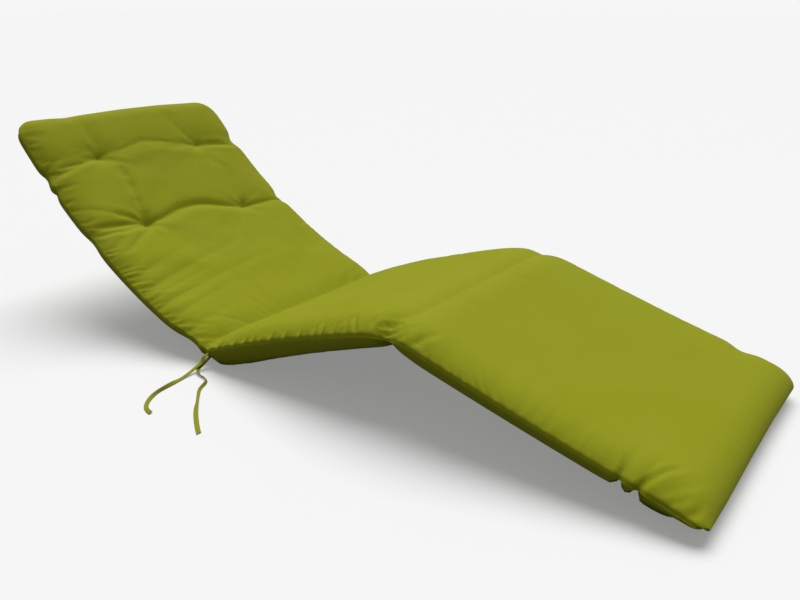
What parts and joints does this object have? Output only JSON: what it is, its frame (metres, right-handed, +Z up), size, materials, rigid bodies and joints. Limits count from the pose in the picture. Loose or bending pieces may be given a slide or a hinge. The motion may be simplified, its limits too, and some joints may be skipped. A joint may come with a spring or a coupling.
{
  "type": "sun lounger cushion",
  "caption": "Padded fabric cushion for a sun lounger, bent into its lounging shape, with tufts near the head, sewn folds at seat and knee, and tie tapes.",
  "frame": {"origin": "centre of the cushion's footprint, on the surface that it rests on; the tie tapes aren't counted", "axes": "+X from the head to the foot, +Z up, so the side with the tie tapes is at -Y"},
  "size_m": [1.6628, 0.8001, 0.4592],
  "materials": {
    "cover_cloth": "plain woven lime-olive cloth, matt",
    "tie_cloth": "narrow folded tape of the same cloth, matt"
  },
  "bodies": {
    "root": {"cushion": "cover_cloth", "tie_straight": "tie_cloth", "tie_wavy": "tie_cloth"}
  },
  "joints": []
}
